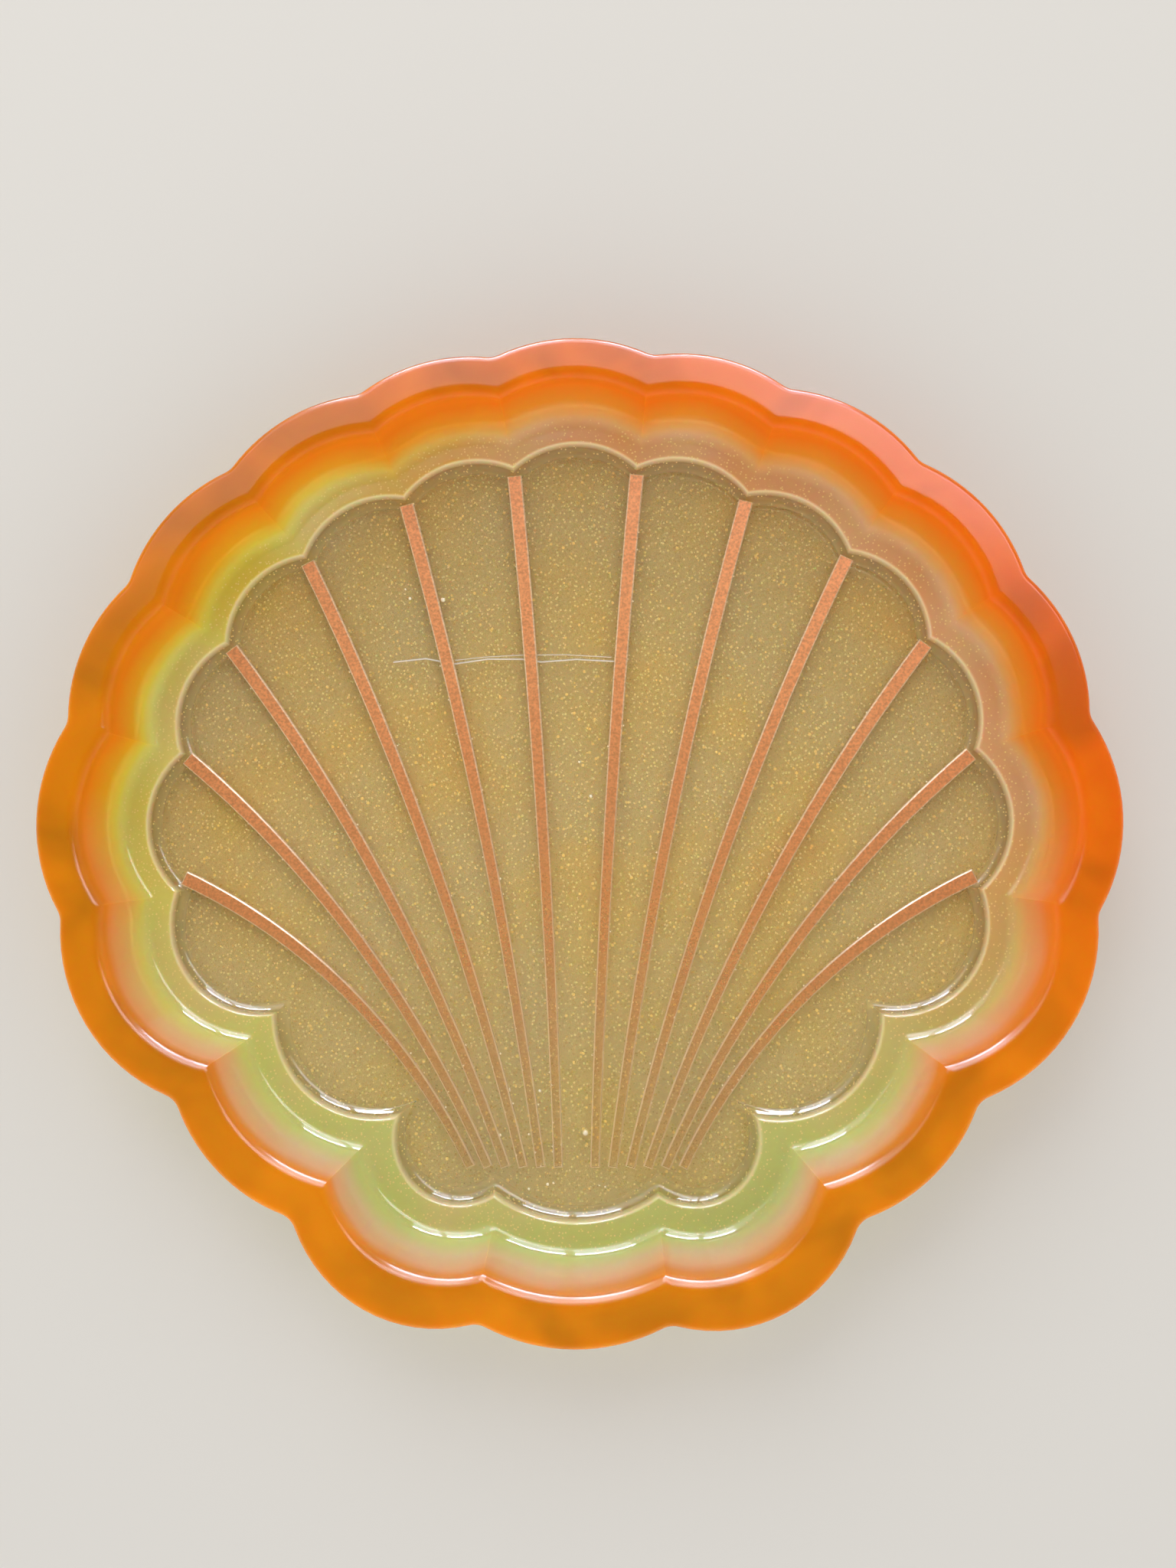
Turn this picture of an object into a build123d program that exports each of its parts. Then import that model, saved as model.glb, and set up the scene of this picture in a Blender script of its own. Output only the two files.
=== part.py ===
from build123d import *
from math import hypot
import os

os.makedirs("parts", exist_ok=True)

# A scallop shell tray cast in tinted resin, face down in an open mould, so its
# underside is one flat face.  It is poured in stages, and each stage is a part:
# rim, wall and base stacked on flat faces, and twelve rays let into the floor.
# Millimetres.  +Z is up, +Y runs from the hinge of the shell to the edge of the
# fan, and the origin is in the middle of the flat underside.

# Levels
height = 20.0            # underside to the top of the rim
rim_pour_depth = 7.0     # the orange stage, down from the top of the rim
wall_pour_depth = 6.0    # the amber stage under it
ledge_z = 6.0            # top of the ledge between the wall and the floor
floor_z = 3.0            # top of the floor
ray_height = 1.2         # rays stand this far above the floor
ray_seat = 0.4           # and are let into it this deep

# Right half of the recess outline, from the edge of the fan round to the hinge:
# one round lobe after another, and a sharp cusp wherever two of them meet
fan_lobe_r = 19.0
fan_centres = [(0, 62.5), (21, 59), (39.5, 51.5), (54.5, 39), (64.5, 22.5), (70, 1.5), (64.5, -19)]
waist_centre = (43, -40.5)
waist_lobe_r = 19.0
corner_centre = (26, -65.5)
corner_lobe_r = 12.5
hinge_centre = (0, -60.5)
hinge_lobe_r = 21.0
waist_flat = 1.5         # at the recess these three lobes bulge this much less than
corner_flat = 3.2        # round arcs would, and at the outside they are round
hinge_flat = 2.7

# Section from the recess outwards, the same all the way round
recess_draft = 0.3       # the recess is this much smaller at the floor
ledge_width = 5.0
wall_run = 3.4           # how far the wall leans out on its way up
rim_width = 8.0
cove_r = 1.9             # floor into the side of the recess
ledge_edge_r = 0.5       # side of the recess over to the ledge
foot_r = 2.4             # ledge into the wall
rim_inner_r = 2.3        # wall over to the rim
round_steps = 4          # these four run through the cusps, each in so many flat steps
rim_outer_r = 1.2
outer_cusp_r = 4.5       # the outside outline has soft cusps
under_chamfer = 0.6

# Rays: bowed ribs that fan out from the hinge, each to a cusp of the recess
ray_count = 12
ray_width_hinge = 1.9
ray_width_fan = 3.0
ray_chamfer = 0.25
ray_foot_gap = 1.0       # all rays start on one line, this far from the nearest cove
ray_foot_x = 3.7         # first ray's distance from the middle there
ray_pitch = 3.55         # from one ray to the next there
ray_bow = 1.2            # bow of the first ray; each further one bows that much more
ray_gap = 1.2            # short of the cusp
outer_ray_lift = 3.6     # the outermost ray ends this far above its cusp

lobes = [(x, y, fan_lobe_r, 0.0) for x, y in fan_centres]
lobes.append((*waist_centre, waist_lobe_r, waist_flat))
lobes.append((*corner_centre, corner_lobe_r, corner_flat))
lobes.append((*hinge_centre, hinge_lobe_r, hinge_flat))
wall_foot = ledge_width
wall_top = wall_foot + wall_run
outside = wall_top + rim_width
floor_reach = recess_draft + cove_r
base_top = height - rim_pour_depth - wall_pour_depth


def cusp(first, second, grow=0.0):
    # Outer crossing of two neighbouring lobes, both made larger by grow
    x1, y1, r1 = first[:3]
    x2, y2, r2 = second[:3]
    span = hypot(x2 - x1, y2 - y1)
    along = (span**2 + (r1 + grow) ** 2 - (r2 + grow) ** 2) / (2 * span)
    aside = max((r1 + grow) ** 2 - along**2, 0.0) ** 0.5
    ux, uy = (x2 - x1) / span, (y2 - y1) / span
    return Vector(x1 + ux * along - uy * aside, y1 + uy * along + ux * aside)


def outline(grow):
    # The whole outline as a sketch, one arc per lobe, every lobe larger by grow
    flatness = 1 - grow / outside
    cusps = [cusp(a, b, grow) for a, b in zip(lobes, lobes[1:])]
    far_end = Vector(0, lobes[0][1] + lobes[0][2] + grow)
    near_end = Vector(0, lobes[-1][1] - lobes[-1][2] - grow + hinge_flat * flatness)
    with BuildSketch() as shape:
        with BuildLine():
            for start, end, (x, y, r, flat) in zip(cusps, cusps[1:], lobes[1:]):
                outward = (end - start).rotate(Axis.Z, 90).normalized()
                apex = Vector(x, y) + outward * (r + grow - flat * flatness)
                lobe = ThreePointArc(start, apex, end)
                mirror(lobe, about=Plane.YZ)
            for start, apex in ((cusps[0], far_end), (cusps[-1], near_end)):
                ThreePointArc(start, apex, (-start.X, start.Y))
        make_face()
    return shape.sketch


def stations(section):
    # Steps round the two arcs of a section, from the lower one up
    arcs = section.edges().filter_by(GeomType.CIRCLE).sort_by(Axis.Y)
    return [arc @ (step / round_steps) for arc in arcs for step in range(round_steps + 1)]


def ray_shape(number, side):
    # One ray as a sketch; number counts from the middle, side is 1 or -1
    foot_line = cusp(lobes[-2], lobes[-1], -floor_reach).Y + ray_foot_gap
    foot = Vector(side * (ray_foot_x + number * ray_pitch), foot_line)
    target = cusp(lobes[number], lobes[number + 1])
    lift = outer_ray_lift if number == ray_count // 2 - 1 else 0.0
    target = Vector(side * target.X, target.Y + lift)
    along = (target - foot).normalized()
    tip = target - along * ray_gap
    inward = Vector(-side * along.Y, side * along.X)
    middle = (foot + tip) / 2 + inward * ray_bow * (number + 1)
    with BuildLine() as spine:
        ThreePointArc(foot, middle, tip)
    reach = {1: [], -1: []}
    for place in (0, 0.5, 1):
        width = ray_width_hinge + (ray_width_fan - ray_width_hinge) * place
        across = (spine.line % place).rotate(Axis.Z, 90) * width / 2
        for sign in reach:
            reach[sign].append((spine.line @ place) + across * sign)
    with BuildSketch() as shape:
        with BuildLine():
            ThreePointArc(*reach[1])
            Line(reach[1][2], reach[-1][2])
            ThreePointArc(*reach[-1][::-1])
            Line(reach[-1][0], reach[1][0])
        make_face()
    return shape.sketch


# Half sections of the bowl and of the recess: X is how far the outline has grown
# there, and Y is the level
with BuildLine() as bowl_section:
    bowl_corners = [(0, ledge_z), (wall_foot, ledge_z), (wall_top, height), (outside, height)]
    FilletPolyline(*bowl_corners, radius=[foot_r, rim_inner_r])
with BuildLine() as recess_section:
    recess_corners = [(-wall_foot, floor_z), (-recess_draft, floor_z), (0, ledge_z), (wall_foot, ledge_z)]
    FilletPolyline(*recess_corners, radius=[cove_r, ledge_edge_r])

# The whole casting as one block first: outside, then the bowl, then the recess
with BuildPart() as casting:
    with BuildSketch() as footprint:
        add(outline(outside))
        fillet(footprint.vertices(), radius=outer_cusp_r)
    extrude(amount=height)
    for section in (bowl_section, recess_section):
        for place in stations(section):
            with BuildSketch(Plane.XY.offset(place.Y)):
                add(outline(place.X))
        loft(ruled=True, mode=Mode.SUBTRACT)
    rim_face = casting.faces().sort_by(Axis.Z)[-1]
    fillet(rim_face.outer_wire().edges(), radius=rim_outer_r)
    under_face = casting.faces().sort_by(Axis.Z)[0]
    chamfer(under_face.edges(), length=under_chamfer)

# Last stage poured: clear base with the floor, the ledge and the foot of the wall
with BuildPart() as base_pour:
    add(casting.part)
    split(bisect_by=Plane.XY.offset(base_top), keep=Keep.BOTTOM)
    with BuildSketch(Plane.XY.offset(floor_z - ray_seat)):
        for number in range(ray_count // 2):
            add(ray_shape(number, 1))
            add(ray_shape(number, -1))
    extrude(amount=ledge_z - floor_z + ray_seat, mode=Mode.SUBTRACT)
base_pour.part.label = "base_pour"
export_step(base_pour.part, "parts/base_pour.step")

# Middle stage: amber ring of wall
with BuildPart() as wall_pour:
    add(casting.part)
    split(bisect_by=Plane.XY.offset(base_top), keep=Keep.TOP)
    split(bisect_by=Plane.XY.offset(base_top + wall_pour_depth), keep=Keep.BOTTOM)
wall_pour.part.label = "wall_pour"
export_step(wall_pour.part, "parts/wall_pour.step")

# First stage poured: orange ring with the flat rim
with BuildPart() as rim_pour:
    add(casting.part)
    split(bisect_by=Plane.XY.offset(height - rim_pour_depth), keep=Keep.TOP)
rim_pour.part.label = "rim_pour"
export_step(rim_pour.part, "parts/rim_pour.step")

# Rays, numbered from the left of the fan to the right
for index in range(ray_count):
    side = -1 if index < ray_count // 2 else 1
    number = ray_count // 2 - 1 - index if side < 0 else index - ray_count // 2
    name = f"ray_{index + 1:02d}"
    with BuildPart() as ray:
        with BuildSketch(Plane.XY.offset(floor_z - ray_seat)):
            add(ray_shape(number, side))
        extrude(amount=ray_seat + ray_height)
        chamfer(ray.faces().sort_by(Axis.Z)[-1].edges(), length=ray_chamfer)
    ray.part.label = name
    export_step(ray.part, f"parts/{name}.step")
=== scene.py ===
import bpy
import bmesh
import math
import random
from mathutils import Matrix, Vector


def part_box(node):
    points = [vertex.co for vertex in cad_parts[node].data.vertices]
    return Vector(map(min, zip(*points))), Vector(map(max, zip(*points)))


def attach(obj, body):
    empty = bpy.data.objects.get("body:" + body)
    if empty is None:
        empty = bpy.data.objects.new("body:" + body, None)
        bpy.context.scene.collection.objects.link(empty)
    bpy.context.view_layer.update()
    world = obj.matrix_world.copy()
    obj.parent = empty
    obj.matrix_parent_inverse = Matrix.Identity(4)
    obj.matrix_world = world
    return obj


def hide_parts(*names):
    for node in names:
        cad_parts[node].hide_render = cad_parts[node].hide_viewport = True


# A scallop shell tray cast in tinted epoxy.  Sizes are in millimetres, and the mesh and
# the nodes take them times mm.
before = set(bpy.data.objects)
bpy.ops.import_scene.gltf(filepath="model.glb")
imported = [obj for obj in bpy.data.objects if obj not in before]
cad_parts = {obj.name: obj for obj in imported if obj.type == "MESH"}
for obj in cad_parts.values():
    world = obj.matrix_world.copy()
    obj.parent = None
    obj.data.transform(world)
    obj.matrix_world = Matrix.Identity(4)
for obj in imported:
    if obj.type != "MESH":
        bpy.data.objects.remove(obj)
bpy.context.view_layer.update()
scene = bpy.context.scene
mm = 0.001
print("frame loaded")

# Camera: nearly straight down, a hand's span above the tray
cameraSetup = {
    "place": (8.58, -11.33, 238.26),
    "pitch": -0.0872,                    # radians away from straight down
    "yaw": 0.0258,
    "roll": -0.0048,
    "lens": 34.69,
    "sensor": 36,
    "nearest": 10,
}


def addCamera(setup):
    cp, sp = math.cos(setup["pitch"]), math.sin(setup["pitch"])
    cy, sy = math.cos(setup["yaw"]), math.sin(setup["yaw"])
    cr, sr = math.cos(setup["roll"]), math.sin(setup["roll"])
    tilt = Matrix(((1, 0, 0), (0, cp, -sp), (0, sp, cp)))
    swing = Matrix(((cy, 0, sy), (0, 1, 0), (-sy, 0, cy)))
    turn = Matrix(((cr, -sr, 0), (sr, cr, 0), (0, 0, 1)))
    rows = turn @ swing @ tilt @ Matrix(((1, 0, 0), (0, -1, 0), (0, 0, -1)))
    axes = Matrix((rows[0], -rows[1], -rows[2])).transposed()
    lens = bpy.data.cameras.new("camera")
    lens.lens = setup["lens"]
    lens.sensor_width = setup["sensor"]
    lens.sensor_fit = "HORIZONTAL"
    lens.clip_start = setup["nearest"] * mm
    camera = bpy.data.objects.new("camera", lens)
    scene.collection.objects.link(camera)
    camera.matrix_world = Matrix.Translation(Vector(setup["place"]) * mm) @ axes.to_4x4()
    scene.camera = camera


addCamera(cameraSetup)
print("camera placed")


def linear(hexColour):
    # sRGB hex to the linear values that the shaders take
    channels = [int(hexColour[i : i + 2], 16) / 255 for i in (1, 3, 5)]
    return [c / 12.92 if c <= 0.04045 else ((c + 0.055) / 1.055) ** 2.4 for c in channels] + [1.0]


def addNode(tree, kind, settings=None, links=None):
    # One node.  Settings are properties of the node or values of its inputs, and a colour
    # ramp's stops; links give an input the output of another node
    node = tree.nodes.new(kind)
    for name, value in (settings or {}).items():
        if name == "stops":
            points = node.color_ramp.elements
            points[0].position, points[1].position = value[0][0], value[-1][0]
            for number, (place, colour) in enumerate([value[0], value[-1]] + value[1:-1]):
                point = points[number] if number < 2 else points.new(place)
                grey = (colour, colour, colour, 1)
                point.color = linear(colour) if isinstance(colour, str) else grey
        elif isinstance(name, str) and hasattr(node, name):
            setattr(node, name, value)
        else:
            node.inputs[name].default_value = value
    for name, source in (links or {}).items():
        tree.links.new(source, node.inputs[name])
    return node


def newMaterial(name):
    material = bpy.data.materials.new(name)
    material.use_nodes = True
    material.node_tree.nodes.clear()
    return material, material.node_tree


def plainMaterial(name, settings):
    # The same all over: one shader with nothing linked to it
    material, tree = newMaterial(name)
    shader = addNode(tree, "ShaderNodeBsdfPrincipled", settings)
    addNode(tree, "ShaderNodeOutputMaterial", {}, {"Surface": shader.outputs[0]})
    return material


# Studio: a pale floor just under the tray in a soft room that is brighter at its walls than
# overhead.  Shiny faces mirror it dimmer, with a pale band high up beyond the fan and a
# tall window of two panes further down
studioSetup = {
    "floorSize": 8.0,                    # metres, as are all places and sizes of the lamps
    "floorDrop": 0.3,                    # mm under the tray
    "floorColour": "#E4E1DC",
    "floorRoughness": 0.9,
    "roomColour": "#F6F5F3",
    "overhead": 0.36,
    "roundabout": 1.85,
    "roundaboutPower": 2.0,              # how close to the horizon the bright part keeps
    "behind": 0.4,                       # how much brighter on the hinge side than beyond the fan
    "backdrop": 0.8,                     # plain level that is seen itself and through the resin
    "mirrored": 0.2,                     # share of the room that shiny faces see
    "sheenColour": "#EEF0FF",
    "sheenStrengths": (2.0, 6.5),        # over the left and over the right of the fan
    "sheenAcross": (0.0, 0.18),          # where it goes from one to the other
    "sheenBeyond": (0.24, 0.32),         # where it comes in on the way beyond the fan
    "sheenRise": (21.0, 25.5),           # degrees from straight up
    "sheenFall": (46.0, 40.0),
    "paneSpots": ((-0.27, 1.05), (0.27, 1.05)),
    "paneWidth": 0.47,
    # height of the middle, height of the part and power: bright below, veiled above
    "paneParts": ((0.34, 0.32, 15.0), (1.09, 1.18, 12.0)),
    "paneColour": "#DDE8FF",
    "keyPlace": (-0.35, 1.25, 0.95),
    "keySize": (1.2, 1.1),
    "keyPower": 8.0,
}


def addSoftbox(name, place, aim, size, power, onlyReflected=False):
    lamp = bpy.data.lights.new(name, "AREA")
    lamp.shape = "RECTANGLE"
    lamp.size, lamp.size_y = size
    lamp.energy = power
    box = bpy.data.objects.new(name, lamp)
    scene.collection.objects.link(box)
    turn = (Vector(aim) - Vector(place)).to_track_quat("-Z", "Y")
    box.matrix_world = Matrix.Translation(place) @ turn.to_matrix().to_4x4()
    box.visible_diffuse = not onlyReflected
    box.visible_transmission = not onlyReflected
    return box


def buildRoom(setup):
    room = bpy.data.worlds.new("paleRoom")
    room.use_nodes = True
    tree = room.node_tree
    tree.nodes.clear()
    sight = addNode(tree, "ShaderNodeTexCoord").outputs["Generated"]
    axes = addNode(tree, "ShaderNodeSeparateXYZ", {}, {"Vector": sight}).outputs
    path = addNode(tree, "ShaderNodeLightPath").outputs
    mirrored = path["Is Glossy Ray"]
    seen = addNode(tree, "ShaderNodeMath", {"operation": "MAXIMUM"},
                   {0: path["Is Camera Ray"], 1: path["Is Transmission Ray"]}).outputs[0]

    # The room's level, from overhead down to the walls
    low = addNode(tree, "ShaderNodeMath", {"operation": "MULTIPLY"},
                  {0: axes["Z"], 1: axes["Z"]}).outputs[0]
    low = addNode(tree, "ShaderNodeMath", {"operation": "SUBTRACT", 0: 1.0}, {1: low}).outputs[0]
    low = addNode(tree, "ShaderNodeMath", {"operation": "POWER", 1: setup["roundaboutPower"]},
                  {0: low}).outputs[0]
    level = addNode(tree, "ShaderNodeMapRange",
                    {"To Min": setup["overhead"], "To Max": setup["roundabout"]},
                    {"Value": low}).outputs[0]
    lean = addNode(tree, "ShaderNodeMath",
                   {"operation": "MULTIPLY_ADD", 1: -setup["behind"], 2: 1.0},
                   {0: axes["Y"]}).outputs[0]
    level = addNode(tree, "ShaderNodeMath", {"operation": "MULTIPLY"},
                    {0: level, 1: lean}).outputs[0]
    share = addNode(tree, "ShaderNodeMapRange", {"To Min": 1.0, "To Max": setup["mirrored"]},
                    {"Value": mirrored}).outputs[0]
    level = addNode(tree, "ShaderNodeMath", {"operation": "MULTIPLY"},
                    {0: level, 1: share}).outputs[0]
    level = addNode(tree, "ShaderNodeMix", {"data_type": "FLOAT", 3: setup["backdrop"]},
                    {0: seen, 2: level}).outputs[0]
    wide = addNode(tree, "ShaderNodeBackground", {"Color": linear(setup["roomColour"])},
                   {"Strength": level})

    # The pale band that only shiny faces mirror
    tilt = addNode(tree, "ShaderNodeMath", {"operation": "ARCCOSINE"}, {0: axes["Z"]}).outputs[0]
    rise, fall = [
        addNode(tree, "ShaderNodeMapRange",
                {"interpolation_type": "SMOOTHSTEP", "From Min": math.radians(setup[part][0]),
                 "From Max": math.radians(setup[part][1])}, {"Value": tilt}).outputs[0]
        for part in ("sheenRise", "sheenFall")]
    near, far = setup["sheenBeyond"]
    beyond = addNode(tree, "ShaderNodeMapRange",
                     {"interpolation_type": "SMOOTHSTEP", "From Min": near, "From Max": far},
                     {"Value": axes["Y"]}).outputs[0]
    band = addNode(tree, "ShaderNodeMath", {"operation": "MULTIPLY"},
                   {0: rise, 1: fall}).outputs[0]
    band = addNode(tree, "ShaderNodeMath", {"operation": "MULTIPLY"},
                   {0: band, 1: beyond}).outputs[0]
    band = addNode(tree, "ShaderNodeMath", {"operation": "MULTIPLY"},
                   {0: band, 1: mirrored}).outputs[0]
    (start, end), (left, right) = setup["sheenAcross"], setup["sheenStrengths"]
    glow = addNode(tree, "ShaderNodeMapRange",
                   {"From Min": start, "From Max": end, "To Min": left, "To Max": right},
                   {"Value": axes["X"]}).outputs[0]
    sheen = addNode(tree, "ShaderNodeBackground", {"Color": linear(setup["sheenColour"])},
                    {"Strength": glow})
    both = addNode(tree, "ShaderNodeMixShader", {},
                   {0: band, 1: wide.outputs[0], 2: sheen.outputs[0]})
    addNode(tree, "ShaderNodeOutputWorld", {}, {"Surface": both.outputs[0]})
    scene.world = room


def buildStudio(setup):
    bpy.ops.object.select_all(action="DESELECT")
    bpy.ops.mesh.primitive_plane_add(size=setup["floorSize"],
                                     location=(0, 0, -setup["floorDrop"] * mm))
    floor = bpy.context.object
    floor.name = "studioFloor"
    # Matt painted board: an even pale ground without highlights
    floor.data.materials.append(plainMaterial("matt painted board", {
        "Base Color": linear(setup["floorColour"]), "Roughness": setup["floorRoughness"],
        "Specular IOR Level": 0.0}))
    addSoftbox("keyBox", setup["keyPlace"], (0, 0, 0), setup["keySize"], setup["keyPower"])
    for x, y in setup["paneSpots"]:
        for middle, tall, power in setup["paneParts"]:
            pane = addSoftbox("windowPane", (x, y, middle), (x, 0, middle),
                              (setup["paneWidth"], tall), power, onlyReflected=True)
            pane.data.color = linear(setup["paneColour"])[:3]
    buildRoom(setup)
    scene.view_settings.view_transform = "Standard"


buildStudio(studioSetup)
print("studio lit")

# The tray: its outline is one round lobe after another, and every level of it is the same
# lobes grown by so much
trayShape = {
    # x, y, radius and flatness of each lobe at the recess, from the fan's edge to the hinge
    "lobes": [
        (0, 62.5, 19, 0), (21, 59, 19, 0), (39.5, 51.5, 19, 0), (54.5, 39, 19, 0),
        (64.5, 22.5, 19, 0), (70, 1.5, 19, 0), (64.5, -19, 19, 0), (43, -40.5, 19, 1.5),
        (26, -65.5, 12.5, 3.2), (0, -60.5, 21, 2.7),
    ],
    "ledgeWidth": 5.0,
    "wallRun": 3.4,
    "rimWidth": 8.0,
    "recessDraft": 0.3,
    "floorLevel": 3.0,
    "ledgeLevel": 6.0,
    "rimOuterRound": (1.2, 6),           # radius and steps of each rounding of the section
    "rimInnerRound": (2.3, 7),
    "footRound": (2.4, 8),
    "ledgeEdgeRound": (0.5, 4),
    "coveRound": (1.9, 7),
    "wallSteps": 4,
    "softCuspRadius": 4.5,
    "underChamfer": 0.6,
    "holdWidth": 0.3,                    # narrow bands that keep the flats flat
    "cuspSteps": (0.0, 0.9, 1.8, 2.7),   # vertices at these distances from each cusp
    "lobeSteps": 22,
    "smoothAngle": 28,                   # degrees
}
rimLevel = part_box("rim_pour")[1].z / mm


def outsideGrow(shape):
    return shape["ledgeWidth"] + shape["wallRun"] + shape["rimWidth"]


def lobeRing(shape):
    # All lobes: the right half from the fan to the hinge, then the left half going back
    right = shape["lobes"]
    return right + [(-x, y, r, flat) for x, y, r, flat in right[-2:0:-1]]


def cuspOf(first, second, grow):
    # Outer crossing of two neighbouring lobes, both made larger by grow
    x1, y1, r1 = first[:3]
    x2, y2, r2 = second[:3]
    span = math.hypot(x2 - x1, y2 - y1)
    along = (span**2 + (r1 + grow) ** 2 - (r2 + grow) ** 2) / (2 * span)
    aside = math.sqrt(max((r1 + grow) ** 2 - along**2, 0))
    ux, uy = (x2 - x1) / span, (y2 - y1) / span
    return Vector((x1 + ux * along - uy * aside, y1 + uy * along + ux * aside))


def outwardOf(start, end):
    # Away from the middle of the tray, square to the line from one cusp to the next
    return (end - start).orthogonal().normalized()


def arcThrough(start, apex, end, shares):
    # Points at the given shares of the arc through three points, and the arc's length
    ax, ay, bx, by, cx, cy = *start, *apex, *end
    d = 2 * (ax * (by - cy) + bx * (cy - ay) + cx * (ay - by))
    a2, b2, c2 = ax**2 + ay**2, bx**2 + by**2, cx**2 + cy**2
    centre = Vector(((a2 * (by - cy) + b2 * (cy - ay) + c2 * (ay - by)) / d,
                     (a2 * (cx - bx) + b2 * (ax - cx) + c2 * (bx - ax)) / d))
    first, last = start - centre, end - centre
    sweep = -first.angle_signed(last)
    if sweep > 0:
        sweep -= 2 * math.pi
    turned = [Matrix.Rotation(sweep * share, 2) for share in shares]
    return [centre + turn @ first for turn in turned], abs(sweep) * first.length


def shareLists(shape):
    # Shares of each lobe's arc at which its vertices stand, close together by the cusps
    ring = lobeRing(shape)
    outside = outsideGrow(shape)
    lists = []
    for k, lobe in enumerate(ring):
        start = cuspOf(ring[k - 1], lobe, outside)
        end = cuspOf(lobe, ring[(k + 1) % len(ring)], outside)
        apex = Vector(lobe[:2]) + outwardOf(start, end) * (lobe[2] + outside)
        length = arcThrough(start, apex, end, [])[1]
        near = [step / length for step in shape["cuspSteps"]]
        count = shape["lobeSteps"] - 2 * (len(near) - 1)
        even = [near[-1] + (1 - 2 * near[-1]) * step / count for step in range(1, count)]
        lists.append(near + even + [1 - share for share in near[:0:-1]])
    return lists


lobeShares = shareLists(trayShape)


def softLobe(shape, before, lobe, after, shares, grow):
    # One lobe with half of the rounded cusp on either side of it, as outside on the tray
    centre, reach = Vector(lobe[:2]), lobe[2] + grow
    inner = shape["softCuspRadius"] + outsideGrow(shape) - grow
    steps = len(shape["cuspSteps"]) - 1
    halves, tangents = [], []
    for pair, other in (((before, lobe), before), ((lobe, after), after)):
        pivot = cuspOf(*pair, outsideGrow(shape) + shape["softCuspRadius"])
        tangents.append(centre + (pivot - centre).normalized() * reach)
        toOther = (Vector(other[:2]) - pivot).normalized()
        middle = ((centre - pivot).normalized() + toOther).normalized()
        arm = (tangents[-1] - pivot).normalized()
        halves.append([pivot + middle.slerp(arm, step / steps) * inner for step in range(steps)])
    low, high = shares[steps], shares[-steps]
    inside = [(share - low) / (high - low) for share in shares[steps:-steps + 1]]
    apex = centre + outwardOf(*tangents) * reach
    return halves[0] + arcThrough(tangents[0], apex, tangents[1], inside)[0] + halves[1][:0:-1]


def outlineAt(shape, grow, soft=False):
    # The whole outline at one level; soft gives it the rounded cusps of the outside
    ring = lobeRing(shape)
    points = []
    for k, (lobe, shares) in enumerate(zip(ring, lobeShares)):
        before, after = ring[k - 1], ring[(k + 1) % len(ring)]
        if soft:
            points += softLobe(shape, before, lobe, after, shares, grow)
            continue
        start, end = cuspOf(before, lobe, grow), cuspOf(lobe, after, grow)
        bulge = lobe[2] + grow - lobe[3] * (1 - grow / outsideGrow(shape))
        apex = Vector(lobe[:2]) + outwardOf(start, end) * bulge
        points += arcThrough(start, apex, end, shares)[0]
    return points


def roundedCorner(before, corner, after, radius, steps):
    # Points of the arc that rounds one corner of a section
    a = (Vector(before) - Vector(corner)).normalized()
    b = (Vector(after) - Vector(corner)).normalized()
    half = a.angle(b) / 2
    reach = radius / math.tan(half)
    pivot = Vector(corner) + (a + b).normalized() * radius / math.sin(half)
    first, last = Vector(corner) + a * reach - pivot, Vector(corner) + b * reach - pivot
    return [pivot + first.slerp(last, step / steps).normalized() * radius
            for step in range(steps + 1)]


def traySection(shape):
    # Stations (grow, level, soft) from the underside round the outside and into the recess
    outside, wallTop = outsideGrow(shape), shape["ledgeWidth"] + shape["wallRun"]
    hold, chamfer = shape["holdWidth"], shape["underChamfer"]
    ledge, floor = shape["ledgeLevel"], shape["floorLevel"]
    under, rimEdge, rimTop = (outside, 0), (outside, rimLevel), (wallTop, rimLevel)
    wallFoot, ledgeEdge = (shape["ledgeWidth"], ledge), (0, ledge)
    recessFoot, onward = (-shape["recessDraft"], floor), (-shape["ledgeWidth"], floor)
    stations = [(outside - chamfer - hold, 0, True), (outside - chamfer, 0, True),
                (outside, chamfer, True), (outside, chamfer + hold, True)]
    corner = roundedCorner(under, rimEdge, (0, rimLevel), *shape["rimOuterRound"])
    stations += [(p.x, p.y, True) for p in corner]
    stations.append((corner[-1].x - hold, rimLevel, True))
    rimInner, foot, edge, cove = [roundedCorner(*part) for part in (
        (rimEdge, rimTop, wallFoot, *shape["rimInnerRound"]),
        (rimTop, wallFoot, ledgeEdge, *shape["footRound"]),
        (wallFoot, ledgeEdge, recessFoot, *shape["ledgeEdgeRound"]),
        (ledgeEdge, recessFoot, onward, *shape["coveRound"]))]
    stations.append((rimInner[0].x + hold, rimLevel, False))
    stations += [(p.x, p.y, False) for p in rimInner]
    stations += [(*rimInner[-1].lerp(foot[0], step / shape["wallSteps"]), False)
                 for step in range(1, shape["wallSteps"])]
    stations += [(p.x, p.y, False) for p in foot]
    stations.append((foot[-1].x - hold, ledge, False))
    stations.append((edge[0].x + hold, ledge, False))
    stations += [(p.x, p.y, False) for p in edge + cove]
    stations.append((cove[-1].x - hold, floor, False))
    return stations


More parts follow.
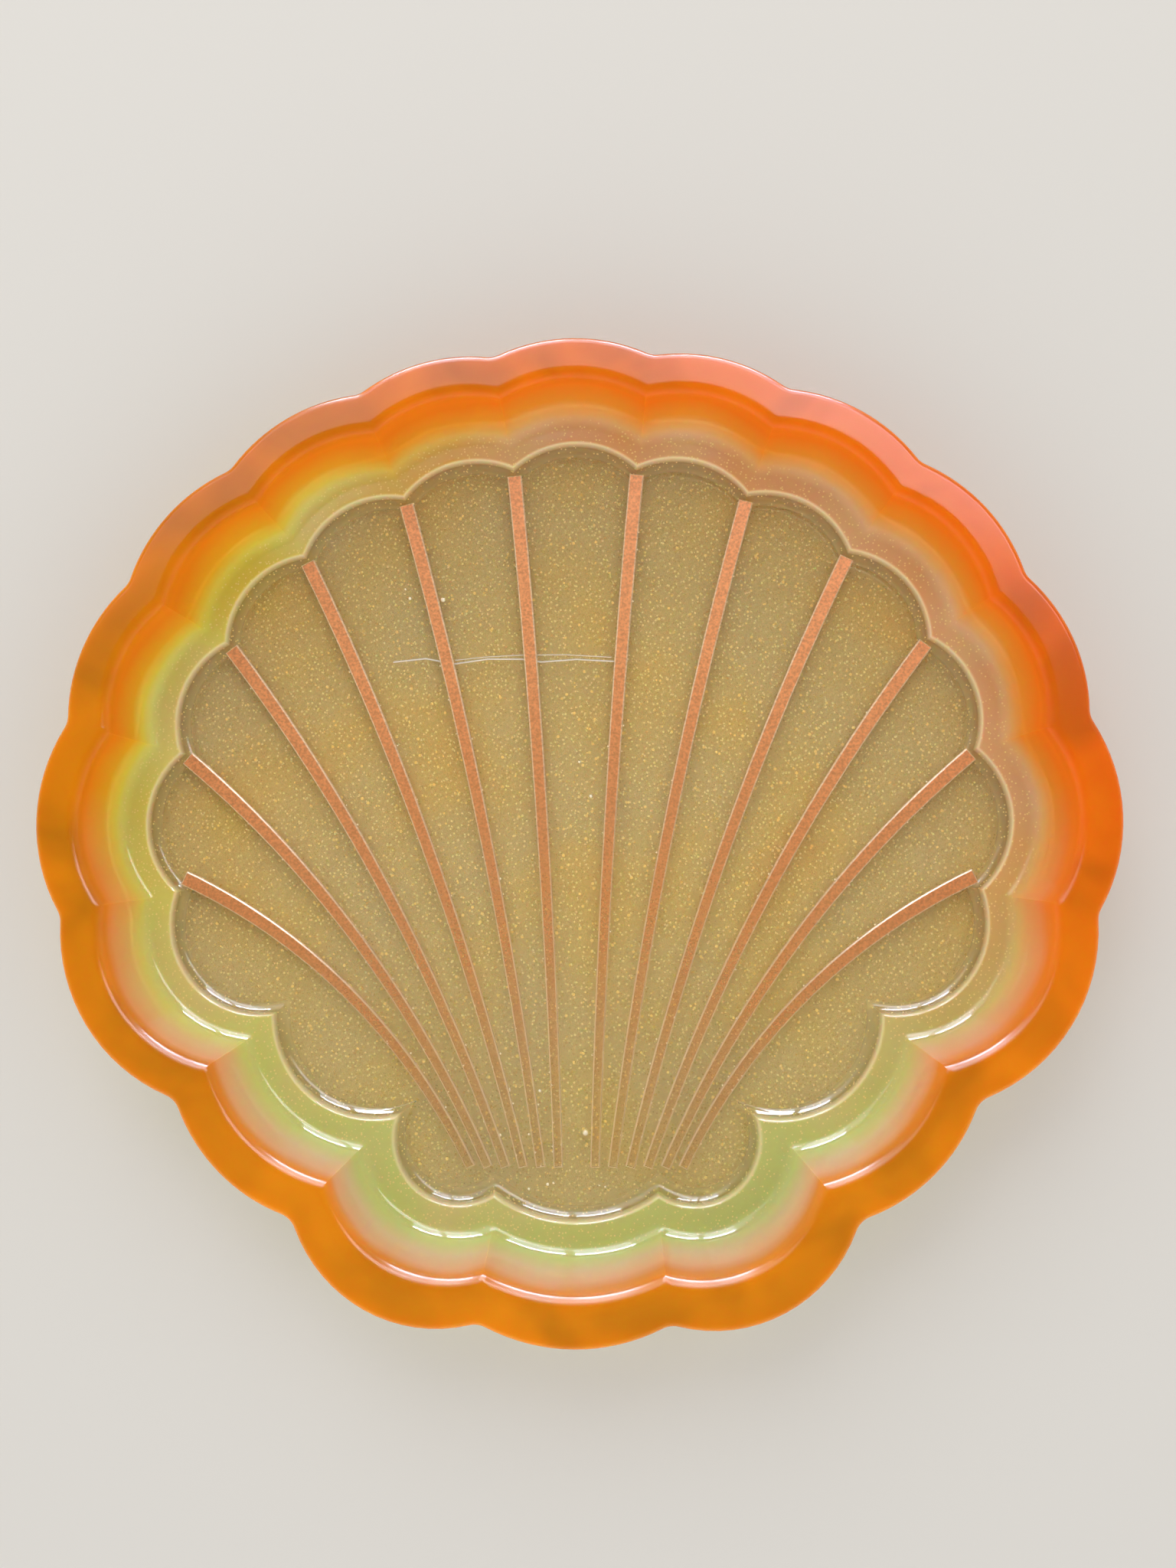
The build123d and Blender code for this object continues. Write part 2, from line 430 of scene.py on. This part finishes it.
def placeRing(mesh, shape, station, first=False):
    # Puts the selected ring of vertices on its outline; each vertex knows its place round
    # the ring, and keeps how far out it stands
    grow, level, soft = station
    shell = bmesh.from_edit_mesh(mesh)
    order = shell.verts.layers.int.get("place") or shell.verts.layers.int.new("place")
    reach = shell.verts.layers.float.get("reach") or shell.verts.layers.float.new("reach")
    shell.verts.ensure_lookup_table()
    if first:
        for vertex in shell.verts:
            vertex[order] = vertex.index
    points = outlineAt(shape, grow, soft)
    for vertex in shell.verts:
        if vertex.select:
            x, y = points[vertex[order]]
            vertex.co = (x * mm, y * mm, level * mm)
            vertex[reach] = grow
    bmesh.update_edit_mesh(mesh)


def buildTray(shape):
    stations = traySection(shape)
    count = sum(len(shares) for shares in lobeShares)
    bpy.ops.object.select_all(action="DESELECT")
    bpy.ops.mesh.primitive_circle_add(vertices=count)
    tray = bpy.context.object
    tray.name = "castTray"
    bpy.ops.object.mode_set(mode="EDIT")
    bpy.ops.mesh.select_all(action="SELECT")
    placeRing(tray.data, shape, stations[0], first=True)
    for station in stations[1:]:
        bpy.ops.mesh.extrude_region_move()
        placeRing(tray.data, shape, station)
    bpy.ops.mesh.edge_face_add()                     # the recess floor
    bpy.ops.mesh.select_all(action="DESELECT")
    bpy.ops.mesh.select_non_manifold(extend=False, use_wire=False, use_boundary=True,
                                     use_multi_face=False, use_non_contiguous=False,
                                     use_verts=False)
    bpy.ops.mesh.edge_face_add()                     # the underside
    bpy.ops.mesh.select_all(action="SELECT")
    bpy.ops.mesh.normals_make_consistent(inside=False)
    bpy.ops.object.mode_set(mode="OBJECT")
    bpy.ops.object.shade_smooth_by_angle(angle=math.radians(shape["smoothAngle"]))
    return tray


tray = buildTray(trayShape)
print("tray modelled:", len(tray.data.polygons), "faces")

# Cast epoxy resin, poured in tints: clear gold at the bottom, amber on the wall and a
# cloudy orange at the rim.  A casting out of a smooth mould gives the eye mirror clean
# highlights and soft colour changes.  A pale line along the ledge edge and the foot of the
# recess is a painted highlight.  The near walls by the hinge are painted paler, partly
# the pours' tint and partly a painted reflection of the sky.  Stops and spans of heights
# are shares of the way from the table to the rim
epoxyLook = {
    "ior": 1.5,
    "polish": [(0.0, 0.04), (0.75, 0.06), (0.9, 0.17), (1.0, 0.2)],      # roughness
    "fanTints": [(0.0, "#EFE3BE"), (0.2, "#FFE2A0"), (0.29, "#FFC898"), (0.4, "#FFBC70"),
                 (0.6, "#FF9A2C"), (0.85, "#FF7E0A")],
    "leftTints": [(0.0, "#EFE3BE"), (0.2, "#FFE2A0"), (0.29, "#FFF08A"), (0.4, "#FFE45A"),
                  (0.58, "#FDB420"), (0.85, "#F48C04")],
    "leftSpan": (-5.0, -65.0),           # mm along x over which the left tints come in
    # partly the pours' own tint by the hinge, partly a painted reflection of the sky that makes
    # the near walls pale
    "hingeTintsAndPaintedReflection": [(0.0, "#EFE3BE"), (0.2, "#FAE6A6"), (0.29, "#E6EC96"), (0.4, "#DCE496"),
                   (0.6, "#E6CDA0"), (0.8, "#EFB98C"), (0.92, "#E89A4C")],
    "hingeSpan": (8.0, -64.0),           # mm along y
    "levelDrift": 1.5,                   # mm that the pours wander up and down
    "driftSize": 30.0,                   # mm across the swells of that
    "driftContrast": (0.3, 0.7),
    "clearness": [(0.0, 0.96), (0.2, 0.92), (0.29, 0.32), (0.45, 0.24), (0.7, 0.16), (1.0, 0.1)],
    "rimTints": [(0.0, "#E68E00"), (0.5, "#F28204"), (1.0, "#F87802")],  # from left to right
    "rimSpan": (-100.0, 100.0),          # mm along x
    "rimHinge": "#F2980C",
    "rimHeights": (0.86, 0.99),
    "patches": 22.0,                     # mm across the lighter and darker swirls of the rim
    "patchSwirl": 0.6,
    "patchContrast": (0.35, 0.65),
    "patchShades": (0.78, 1.05),
    "dust": 0.8,                         # mm between specks, drawn coarser than the real 0.3 mm
    "dustEdge": (0.27, 0.17),            # share of that from the middle of a speck to its edge
    "dustTint": "#FFE7A2",
    "dustHeights": (0.36, 0.3),
    "dustCover": 0.9,
    "paintedBendHighlightReach": (-2.4, 3.6),            # mm out from the recess edge, for the stops of the painted highlight lines
    # painted highlight: pale lines along the ledge edge and the foot of the recess
    "paintedBendHighlights": [(0.0, 0.0), (0.1, 0.25), (0.34, 0.1), (0.4, 0.85), (0.46, 0.0)],
    "paintedBendHighlightTint": "#F6EAC0",
    "dulling": 0.6,                      # share of the clearness that the painted highlight lines and the dust take
    "glow": (3.0, 1.1, 0.35),            # mm that red, green and blue spread in cloudy resin
    "baseGlow": 0.2,                     # share of it in the thin base
    "glowHeights": (0.33, 0.55),
    "waviness": 16.0,                    # mm between soft waves in the surface
    "waveHeight": 0.8,                   # mm
    "waveStrength": 0.12,
}


def castEpoxy(look):
    material, tree = newMaterial("cast epoxy resin, poured tints")
    place = addNode(tree, "ShaderNodeTexCoord").outputs["Object"]
    x, y, z = addNode(tree, "ShaderNodeSeparateXYZ", {}, {"Vector": place}).outputs
    reach = addNode(tree, "ShaderNodeAttribute", {"attribute_name": "reach"}).outputs["Fac"]
    level = addNode(tree, "ShaderNodeMapRange", {"From Max": rimLevel * mm},
                    {"Value": z}).outputs[0]

    # Tints of the pours, whose joints wander up and down; the hinge tints also hold a painted
    # reflection that makes the near walls paler
    swell = addNode(tree, "ShaderNodeTexNoise",
                    {"Scale": 1 / (look["driftSize"] * mm), "Detail": 2.0},
                    {"Vector": place}).outputs["Fac"]
    start, end = look["driftContrast"]
    drift = addNode(tree, "ShaderNodeMapRange",
                    {"From Min": start, "From Max": end, "To Min": -look["levelDrift"] * mm,
                     "To Max": look["levelDrift"] * mm}, {"Value": swell}).outputs[0]
    drifted = addNode(tree, "ShaderNodeMath", {"operation": "ADD"}, {0: z, 1: drift}).outputs[0]
    drifted = addNode(tree, "ShaderNodeMapRange", {"From Max": rimLevel * mm},
                      {"Value": drifted}).outputs[0]
    left, hinge, across = [
        addNode(tree, "ShaderNodeMapRange",
                {"From Min": look[part][0] * mm, "From Max": look[part][1] * mm},
                {"Value": axis}).outputs[0]
        for part, axis in (("leftSpan", x), ("hingeSpan", y), ("rimSpan", x))]
    fan, side, near = [
        addNode(tree, "ShaderNodeValToRGB", {"stops": look[part]}, {"Fac": drifted}).outputs[0]
        for part in ("fanTints", "leftTints", "hingeTintsAndPaintedReflection")]
    tint = addNode(tree, "ShaderNodeMix", {"data_type": "RGBA"},
                   {0: left, 6: fan, 7: side}).outputs[2]
    # painted reflection: the near walls by the hinge take the paler hinge tints
    tint = addNode(tree, "ShaderNodeMix", {"data_type": "RGBA"},
                   {0: hinge, 6: tint, 7: near}).outputs[2]

    # The rim's own tint, with swirls
    rimTint = addNode(tree, "ShaderNodeValToRGB", {"stops": look["rimTints"]},
                      {"Fac": across}).outputs[0]
    rimTint = addNode(tree, "ShaderNodeMix", {"data_type": "RGBA", 7: linear(look["rimHinge"])},
                      {0: hinge, 6: rimTint}).outputs[2]
    patch = addNode(tree, "ShaderNodeTexNoise",
                    {"Scale": 1 / (look["patches"] * mm), "Detail": 2.0,
                     "Distortion": look["patchSwirl"]}, {"Vector": place}).outputs["Fac"]
    (start, end), (darker, lighter) = look["patchContrast"], look["patchShades"]
    shade = addNode(tree, "ShaderNodeMapRange",
                    {"From Min": start, "From Max": end, "To Min": darker, "To Max": lighter},
                    {"Value": patch}).outputs[0]
    rimTint = addNode(tree, "ShaderNodeMix",
                      {"data_type": "RGBA", "blend_type": "MULTIPLY", 0: 1.0},
                      {6: rimTint, 7: shade}).outputs[2]
    start, end = look["rimHeights"]
    high = addNode(tree, "ShaderNodeMapRange", {"From Min": start, "From Max": end},
                   {"Value": level}).outputs[0]
    colour = addNode(tree, "ShaderNodeMix", {"data_type": "RGBA"},
                     {0: high, 6: tint, 7: rimTint}).outputs[2]

    # Gold dust low down, and a painted highlight: a pale line along the ledge edge and the foot of
    # the recess
    specks = addNode(tree, "ShaderNodeTexVoronoi", {"Scale": 1 / (look["dust"] * mm)},
                     {"Vector": place}).outputs["Distance"]
    start, end = look["dustEdge"]
    specks = addNode(tree, "ShaderNodeMapRange", {"From Min": start, "From Max": end},
                     {"Value": specks}).outputs[0]
    start, end = look["dustHeights"]
    low = addNode(tree, "ShaderNodeMapRange",
                  {"From Min": start, "From Max": end, "To Max": look["dustCover"]},
                  {"Value": level}).outputs[0]
    dust = addNode(tree, "ShaderNodeMath", {"operation": "MULTIPLY"},
                   {0: specks, 1: low}).outputs[0]
    colour = addNode(tree, "ShaderNodeMix", {"data_type": "RGBA", 7: linear(look["dustTint"])},
                     {0: dust, 6: colour}).outputs[2]
    # painted highlight: a paler tint by distance from the recess edge
    start, end = look["paintedBendHighlightReach"]
    paintedHighlight = addNode(tree, "ShaderNodeMapRange", {"From Min": start, "From Max": end},
                   {"Value": reach}).outputs[0]
    paintedHighlight = addNode(tree, "ShaderNodeValToRGB", {"stops": look["paintedBendHighlights"]}, {"Fac": paintedHighlight}).outputs[0]
    colour = addNode(tree, "ShaderNodeMix", {"data_type": "RGBA", 7: linear(look["paintedBendHighlightTint"])},
                     {0: paintedHighlight, 6: colour}).outputs[2]

    # How clear, how cloudy and how smooth the resin is
    clear = addNode(tree, "ShaderNodeValToRGB", {"stops": look["clearness"]},
                    {"Fac": level}).outputs[0]
    # the painted highlight lines and the dust make the resin less clear there
    dulled = addNode(tree, "ShaderNodeMath", {"operation": "MAXIMUM"},
                     {0: paintedHighlight, 1: dust}).outputs[0]
    dulled = addNode(tree, "ShaderNodeMath",
                     {"operation": "MULTIPLY_ADD", 1: -look["dulling"], 2: 1.0},
                     {0: dulled}).outputs[0]
    clear = addNode(tree, "ShaderNodeMath", {"operation": "MULTIPLY"},
                    {0: clear, 1: dulled}).outputs[0]
    start, end = look["glowHeights"]
    spread = addNode(tree, "ShaderNodeMapRange",
                     {"From Min": start, "From Max": end, "To Min": look["baseGlow"] * mm,
                      "To Max": mm}, {"Value": level}).outputs[0]
    polish = addNode(tree, "ShaderNodeValToRGB", {"stops": look["polish"]},
                     {"Fac": level}).outputs[0]
    wave = addNode(tree, "ShaderNodeTexNoise",
                   {"Scale": 1 / (look["waviness"] * mm), "Detail": 1.0},
                   {"Vector": place}).outputs["Fac"]
    bump = addNode(tree, "ShaderNodeBump",
                   {"Strength": look["waveStrength"], "Distance": look["waveHeight"] * mm},
                   {"Height": wave}).outputs[0]
    shader = addNode(tree, "ShaderNodeBsdfPrincipled",
                     {"IOR": look["ior"], "Subsurface Weight": 1.0,
                      "Subsurface Radius": look["glow"]},
                     {"Base Color": colour, "Roughness": polish, "Transmission Weight": clear,
                      "Subsurface Scale": spread, "Normal": bump})
    addNode(tree, "ShaderNodeOutputMaterial", {}, {"Surface": shader.outputs[0]})
    return material


tray.data.materials.append(castEpoxy(epoxyLook))
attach(tray, "root")
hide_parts("rim_pour", "wall_pour", "base_pour")
print("tray tinted")

# Copper mica in clear resin, brushed into the channels of the mould: a salmon bar with a
# fine glitter and paler edges, thick at the fan's edge and worn thin by the hinge
micaLook = {
    "copper": "#F2A266",
    "edge": "#FBE0BC",
    "roughness": 0.3,
    "metallic": 0.15,
    "ior": 1.5,
    "grain": 0.5,                        # mm; real ones are under 0.1 mm, drawn so that they show
    "grainContrast": (0.3, 0.7),
    "grainShades": (0.75, 1.2),
    "hinge": (0, -75, 3),
    "coverSpan": (20, 110),              # mm from the hinge
    "covers": (0.1, 0.85),
    "edgeFacing": (0.97, 0.9),           # how level a face is, from the top to the sides
    "edgeCover": 0.45,
}


def copperMica(look):
    material, tree = newMaterial("copper mica in clear epoxy")
    place = addNode(tree, "ShaderNodeTexCoord").outputs["Object"]
    span = addNode(tree, "ShaderNodeVectorMath",
                   {"operation": "DISTANCE", 1: Vector(look["hinge"]) * mm},
                   {0: place}).outputs["Value"]
    (near, far), (thin, thick) = look["coverSpan"], look["covers"]
    cover = addNode(tree, "ShaderNodeMapRange",
                    {"From Min": near * mm, "From Max": far * mm, "To Min": thin,
                     "To Max": thick}, {"Value": span}).outputs[0]
    grain = addNode(tree, "ShaderNodeTexNoise",
                    {"Scale": 1 / (look["grain"] * mm), "Detail": 1.0},
                    {"Vector": place}).outputs["Fac"]
    (start, end), (darker, lighter) = look["grainContrast"], look["grainShades"]
    grain = addNode(tree, "ShaderNodeMapRange",
                    {"From Min": start, "From Max": end, "To Min": darker, "To Max": lighter},
                    {"Value": grain}).outputs[0]
    normal = addNode(tree, "ShaderNodeNewGeometry").outputs["True Normal"]
    facing = addNode(tree, "ShaderNodeSeparateXYZ", {}, {"Vector": normal}).outputs["Z"]
    facing = addNode(tree, "ShaderNodeMath", {"operation": "ABSOLUTE"}, {0: facing}).outputs[0]
    flat, steep = look["edgeFacing"]
    edge = addNode(tree, "ShaderNodeMapRange", {"From Min": flat, "From Max": steep},
                   {"Value": facing}).outputs[0]
    colour = addNode(tree, "ShaderNodeMix",
                     {"data_type": "RGBA", 6: linear(look["copper"]), 7: linear(look["edge"])},
                     {0: edge}).outputs[2]
    alpha = addNode(tree, "ShaderNodeMath", {"operation": "MULTIPLY"},
                    {0: cover, 1: grain}).outputs[0]
    sides = addNode(tree, "ShaderNodeMath", {"operation": "MULTIPLY", 1: look["edgeCover"]},
                    {0: edge}).outputs[0]
    alpha = addNode(tree, "ShaderNodeMath", {"operation": "MAXIMUM"},
                    {0: alpha, 1: sides}).outputs[0]
    shader = addNode(tree, "ShaderNodeBsdfPrincipled",
                     {"Roughness": look["roughness"], "Metallic": look["metallic"],
                      "IOR": look["ior"]}, {"Base Color": colour, "Alpha": alpha})
    addNode(tree, "ShaderNodeOutputMaterial", {}, {"Surface": shader.outputs[0]})
    return material


rayNames = [f"ray_{number:02d}" for number in range(1, 13)]
micaMaterial = copperMica(micaLook)
for name in rayNames:
    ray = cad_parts[name]
    ray.data.materials.clear()
    ray.data.materials.append(micaMaterial)
print("rays coloured")


def addCopy(pattern, move):
    # One more of a shape, with a mesh of its own
    copy = pattern.copy()
    copy.data = pattern.data.copy()
    copy.data.transform(move)
    scene.collection.objects.link(copy)
    return copy


def joinPieces(pieces, name):
    bpy.ops.object.select_all(action="DESELECT")
    for piece in pieces:
        piece.select_set(True)
    bpy.context.view_layer.objects.active = pieces[0]
    bpy.ops.object.join()
    pieces[0].name = name
    return pieces[0]


# Air bubbles at the surface of the floor, as beads with a painted highlight: a few larger ones,
# and pinheads along the rays
bubbleSetup = {
    "places": [                          # x, y and size
        (-35.2, 49.0, 0.8), (-28.2, 48.6, 1.4), (-36.2, 51.0, 0.5), (-14.1, -75.2, 0.9),
        (-9.7, -73.0, 0.6), (-5.9, -72.1, 0.7), (-4.7, -71.8, 0.5), (4.6, -72.2, 0.4),
        (5.8, -72.5, 0.5), (-15.6, -62.4, 0.7), (-9.7, -62.2, 0.5), (-7.5, -53.5, 0.7),
        (1.8, -61.9, 1.6), (0.7, 13.9, 0.6), (3.1, 6.7, 0.8), (-15.8, -10.4, 0.6),
    ],
    "segments": 8,
    "rings": 6,
    "top": 3.2,
    "pinsPerRay": 18,
    "pinSizes": (0.25, 0.45),
    "pinReach": (0.02, 0.3),             # mm from the side of a ray
    "seed": 3,
    # painted highlight: the bright cream of a bubble, which is light it reflects
    "tint": "#FFF3D2",
    "roughness": 0.2,
    "ior": 1.5,
}


def pinPlaces(setup):
    chance = random.Random(setup["seed"])
    near, far = setup["pinReach"]
    places = []
    for name in rayNames:
        low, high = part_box(name)
        found = 0
        while found < setup["pinsPerRay"]:
            spot = Vector((chance.uniform(low.x, high.x), chance.uniform(low.y, high.y),
                           setup["top"] * mm))
            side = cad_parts[name].closest_point_on_mesh(spot)[1]
            if near * mm < (side - spot).length < far * mm:
                places.append((spot.x / mm, spot.y / mm, chance.uniform(*setup["pinSizes"])))
                found += 1
    return places


def blowBubbles(setup):
    bpy.ops.object.select_all(action="DESELECT")
    bpy.ops.mesh.primitive_uv_sphere_add(segments=setup["segments"], ring_count=setup["rings"],
                                         radius=1 * mm)
    pattern = bpy.context.object
    bpy.ops.object.shade_smooth()
    bubbles = []
    for x, y, size in setup["places"] + pinPlaces(setup):
        spot = Matrix.Translation(Vector((x, y, setup["top"] - size / 2)) * mm)
        bubbles.append(addCopy(pattern, spot @ Matrix.Scale(size / 2, 4)))
    bpy.data.objects.remove(pattern)
    return joinPieces(bubbles, "airBubbles")


def trappedAir(setup):
    # Air under a skin of set resin, drawn as an opaque bead painted bright cream: a painted
    # highlight for the light a bubble reflects
    return plainMaterial("trapped air, painted highlight", {
        "Base Color": linear(setup["tint"]), "Roughness": setup["roughness"],
        "IOR": setup["ior"]})


bubbles = blowBubbles(bubbleSetup)
bubbles.data.materials.append(trappedAir(bubbleSetup))
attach(bubbles, "root")
print("bubbles blown")

# Two thin milky white strands, half sunk in the floor, through the two rays left of the
# middle and up to the next
milkyStrandSetup = {
    "strands": [                         # thickness, and the points it goes through
        (0.36, [(-38.6, 35.3), (-31.7, 36.0), (-25.7, 34.8), (-18.6, 35.8), (-11.2, 35.7),
                (-7.2, 35.1), (0.1, 35.6), (8.1, 35.1), (10.6, 35.5)]),
        (0.2, [(-25.5, 35.6), (-18.6, 36.3), (-11.2, 36.6), (-2.1, 36.6), (7.5, 36.0)]),
    ],
    "sides": 6,
    "level": 3.0,
    "smoothAngle": 40,                   # degrees
    "tint": "#F4F1EC",
    "roughness": 0.5,
    "alpha": 0.6,
}


def layStrand(setup, thickness, points):
    bpy.ops.object.select_all(action="DESELECT")
    bpy.ops.mesh.primitive_circle_add(
        vertices=setup["sides"], radius=thickness / 2 * mm,
        location=Vector((*points[0], setup["level"])) * mm, rotation=(0, math.pi / 2, 0))
    strand = bpy.context.object
    bpy.ops.object.transform_apply(location=True, rotation=True, scale=True)
    bpy.ops.object.mode_set(mode="EDIT")
    bpy.ops.mesh.select_all(action="SELECT")
    bpy.ops.mesh.edge_face_add()
    for here, there in zip(points, points[1:]):
        step = Vector((there[0] - here[0], there[1] - here[1], 0)) * mm
        bpy.ops.mesh.extrude_region_move(TRANSFORM_OT_translate={"value": step})
    bpy.ops.mesh.select_all(action="SELECT")
    bpy.ops.mesh.normals_make_consistent(inside=False)
    bpy.ops.object.mode_set(mode="OBJECT")
    bpy.ops.object.shade_smooth_by_angle(angle=math.radians(setup["smoothAngle"]))
    return strand


def milkyStrandMaterial(setup):
    # A hair-thin milky white line, partly see-through
    return plainMaterial("milky strands in resin", {
        "Base Color": linear(setup["tint"]), "Roughness": setup["roughness"],
        "Alpha": setup["alpha"]})


strands = [layStrand(milkyStrandSetup, thickness, points) for thickness, points in milkyStrandSetup["strands"]]
milkyLine = joinPieces(strands, "milkyStrands")
milkyLine.data.materials.append(milkyStrandMaterial(milkyStrandSetup))
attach(milkyLine, "root")
print("milky strands laid")

# Gold mica flakes strewn through the clear base
flakeSetup = {
    "count": 2000,
    "area": ((-94, 94), (-86, 87)),
    "sizes": (0.35, 0.75),               # real ones are about 0.1 mm, larger so that they show
    "sides": 6,
    "thickness": 0.12,                   # of a flake 1 mm across
    "inset": 0.1,
    "lean": 0.5,                         # radians at most
    "floorReach": -2.2,                  # grow of the outline inside which the recess floor is
    "edgeReach": 0.7,                    # grow up to which the recess edge may cut through a flake
    "ledgeReach": 3.8,                   # grow up to which there are any
    "floorLevels": (1.9, 2.8),
    "edgeRise": 1.2,                     # how far up they lie between floor and ledge
    "ledgeTop": 5.6,
    "outlineStep": 3,                    # every so many vertices of an outline are enough here
    "seed": 7,
    "gold": "#FFEBB0",
    "roughness": 0.35,
}


def insideOutline(x, y, outline):
    crossings = 0
    for (x1, y1), (x2, y2) in zip(outline, outline[1:] + outline[:1]):
        if (y1 > y) != (y2 > y) and x < x1 + (y - y1) / (y2 - y1) * (x2 - x1):
            crossings += 1
    return crossings % 2 == 1


def shapeFlake(setup):
    # A six-sided plate 1 mm across, with a narrow band round its top face
    bpy.ops.object.select_all(action="DESELECT")
    bpy.ops.mesh.primitive_cylinder_add(vertices=setup["sides"], radius=0.5 * mm,
                                        depth=setup["thickness"] * mm)
    flake = bpy.context.object
    bpy.ops.object.mode_set(mode="EDIT")
    bpy.ops.mesh.select_all(action="DESELECT")
    mesh = bmesh.from_edit_mesh(flake.data)
    for face in mesh.faces:
        face.select = face.normal.z > 0.9
    bmesh.update_edit_mesh(flake.data)
    bpy.ops.mesh.inset(thickness=setup["inset"] * mm)
    bpy.ops.object.mode_set(mode="OBJECT")
    return flake


def strewFlakes(setup):
    chance = random.Random(setup["seed"])
    floor, edge, ledge = [
        [tuple(point) for point in outlineAt(trayShape, setup[part])][::setup["outlineStep"]]
        for part in ("floorReach", "edgeReach", "ledgeReach")]
    flake = shapeFlake(setup)
    flakes = []
    while len(flakes) < setup["count"]:
        x, y = [chance.uniform(*span) for span in setup["area"]]
        if not insideOutline(x, y, ledge):
            continue
        low, high = setup["floorLevels"]
        if not insideOutline(x, y, edge):
            high = setup["ledgeTop"]
        elif not insideOutline(x, y, floor):
            high = low + setup["edgeRise"]
        size = chance.uniform(*setup["sizes"])
        lean = Matrix.Rotation(chance.uniform(0, setup["lean"]), 4,
                               (chance.uniform(-1, 1), chance.uniform(-1, 1), 0.01))
        turn = Matrix.Rotation(chance.uniform(0, math.pi), 4, "Z")
        spot = Matrix.Translation(Vector((x, y, chance.uniform(low, high))) * mm)
        flakes.append(addCopy(flake, spot @ lean @ turn @ Matrix.Scale(size, 4)))
    bpy.data.objects.remove(flake)
    return joinPieces(flakes, "goldFlakes")


def goldMica(setup):
    # Mica with a gold coat: flat glittering plates
    return plainMaterial("gold coated mica", {
        "Base Color": linear(setup["gold"]), "Roughness": setup["roughness"]})


flakes = strewFlakes(flakeSetup)
flakes.data.materials.append(goldMica(flakeSetup))
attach(flakes, "root")
print("flakes strewn:", len(flakes.data.polygons), "faces")
